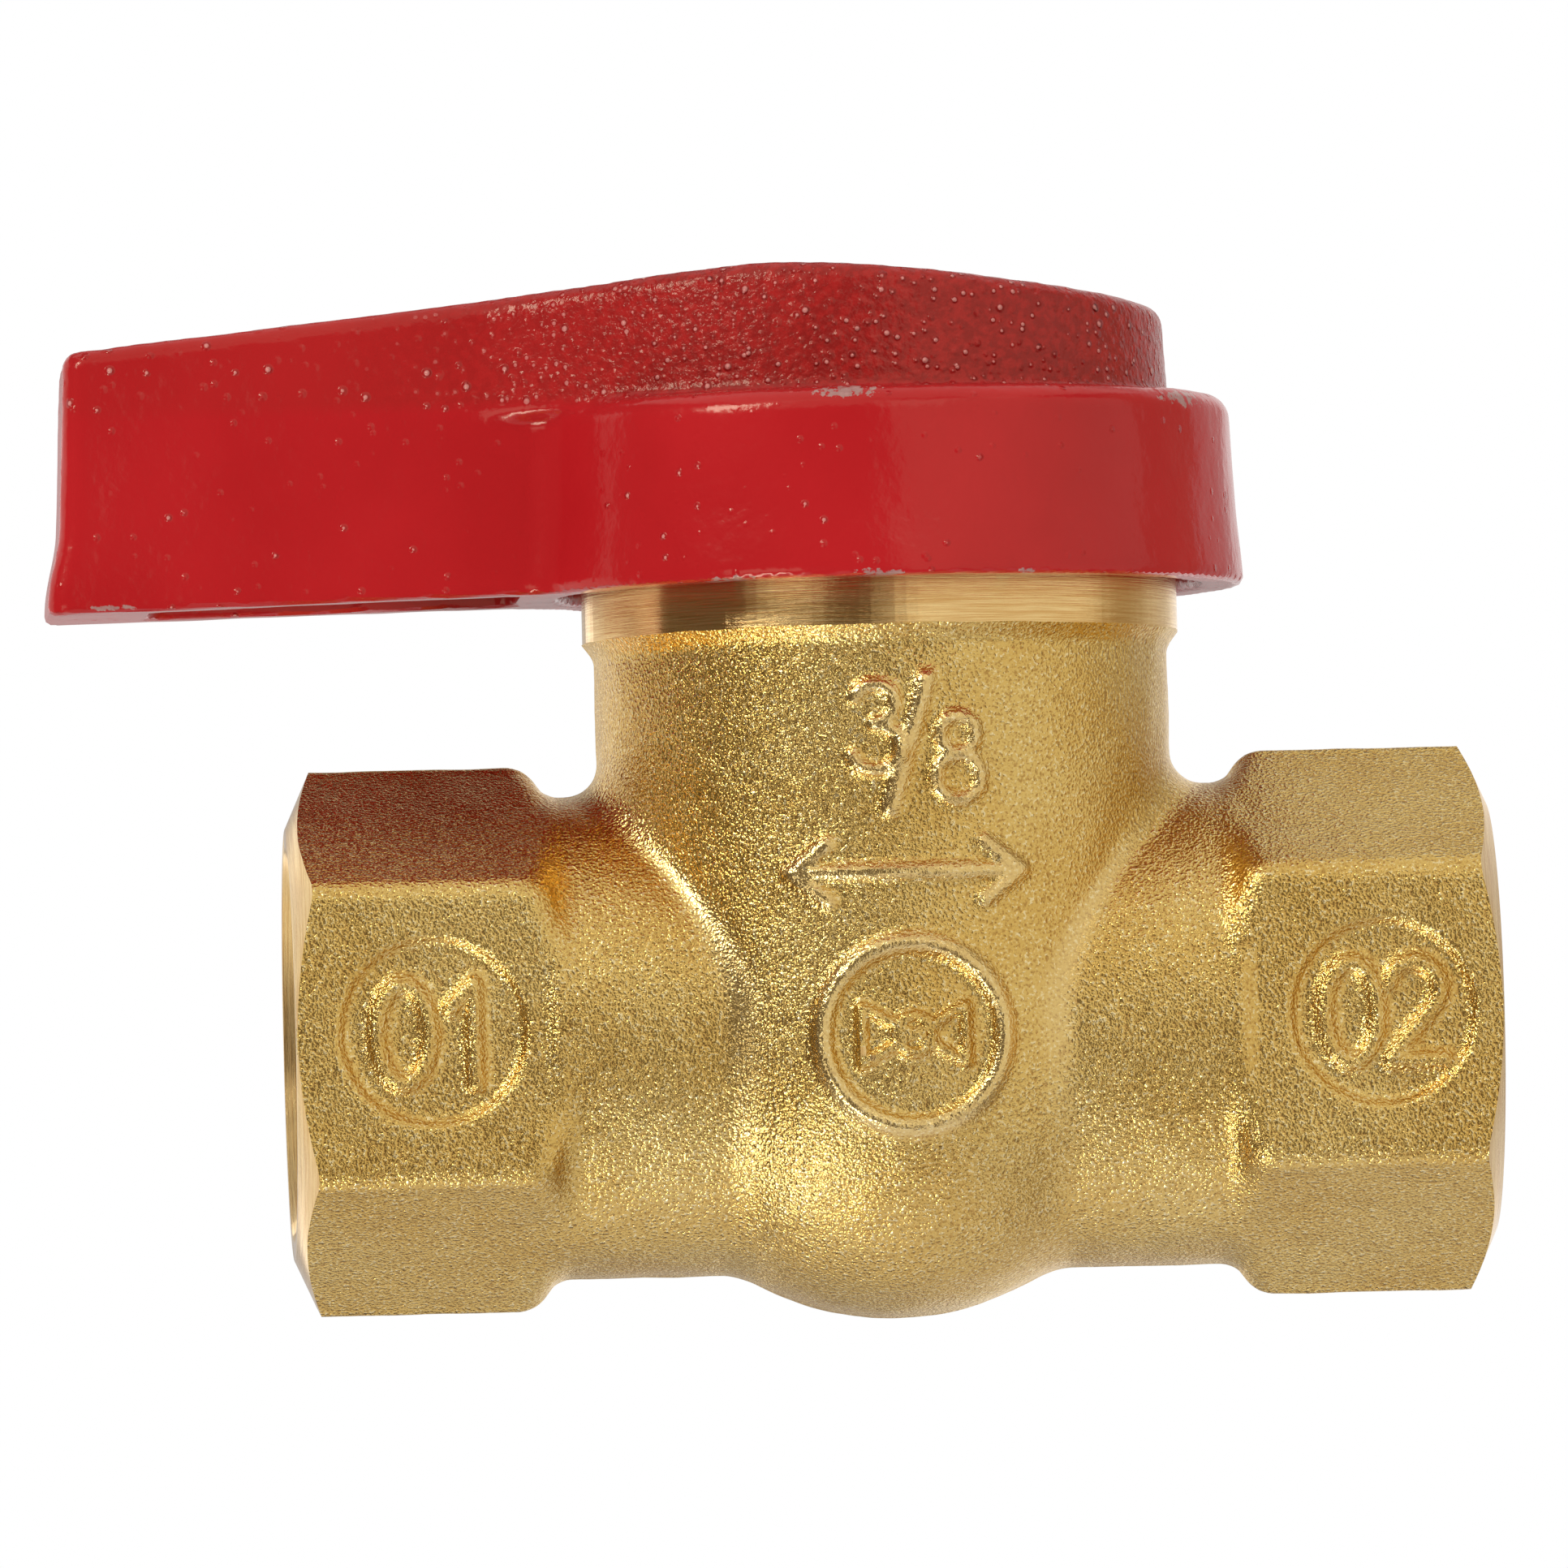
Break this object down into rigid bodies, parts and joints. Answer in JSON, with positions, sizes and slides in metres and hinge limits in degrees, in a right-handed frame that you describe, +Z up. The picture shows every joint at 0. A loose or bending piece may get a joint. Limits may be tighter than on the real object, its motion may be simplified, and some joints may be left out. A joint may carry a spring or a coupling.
{
  "type": "ball valve",
  "caption": "Quarter-turn ball valve with a one-piece forged body, hexagonal threaded ends, a top-entry bonnet and a hollow red lever handle.",
  "frame": {"origin": "centre of the ball, where the pipe axis meets the stem axis", "axes": "+X along the pipe from inlet to outlet, +Z up the stem towards the handle; the handle points to -X when the valve is open"},
  "size_m": [0.0637, 0.0322, 0.0464],
  "materials": {
    "forged_brass": "forged and shot-blasted, with turned threads and neck band",
    "turned_brass": "turned, bright",
    "chrome_plate": "polished",
    "ptfe": "smooth, waxy",
    "nitrile": "satin",
    "red_paint": "glossy paint over a rough casting",
    "zinc_steel": "zinc plated"
  },
  "bodies": {
    "valve": {"valve_body": "forged_brass", "bonnet": "turned_brass", "bonnet_o_ring": "nitrile", "seat_inlet": "ptfe", "seat_outlet": "ptfe", "seat_ring_inlet": "nitrile", "seat_ring_outlet": "nitrile"},
    "handle_and_stem": {"handle": "red_paint", "handle_screw": "zinc_steel", "spring_washer": "zinc_steel", "flat_washer": "zinc_steel", "stem": "turned_brass", "stem_thrust_washer": "ptfe", "stem_o_ring_lower": "nitrile", "stem_o_ring_upper": "nitrile"},
    "ball": {"ball": "chrome_plate"}
  },
  "joints": [
    {"name": "handle_turn", "type": "hinge", "parent": "valve", "child": "handle_and_stem", "pos_m": [0, 0, 0.022], "axis": [0, 0, 1], "range_deg": [-90, 0]},
    {"name": "ball_turn", "type": "hinge", "parent": "valve", "child": "ball", "pos_m": [0, 0, 0], "axis": [0, 0, 1], "range_deg": [-90, 0]}
  ],
  "couplings": [
    {"joint": "ball_turn", "follows": "handle_turn", "ratio": 1}
  ]
}
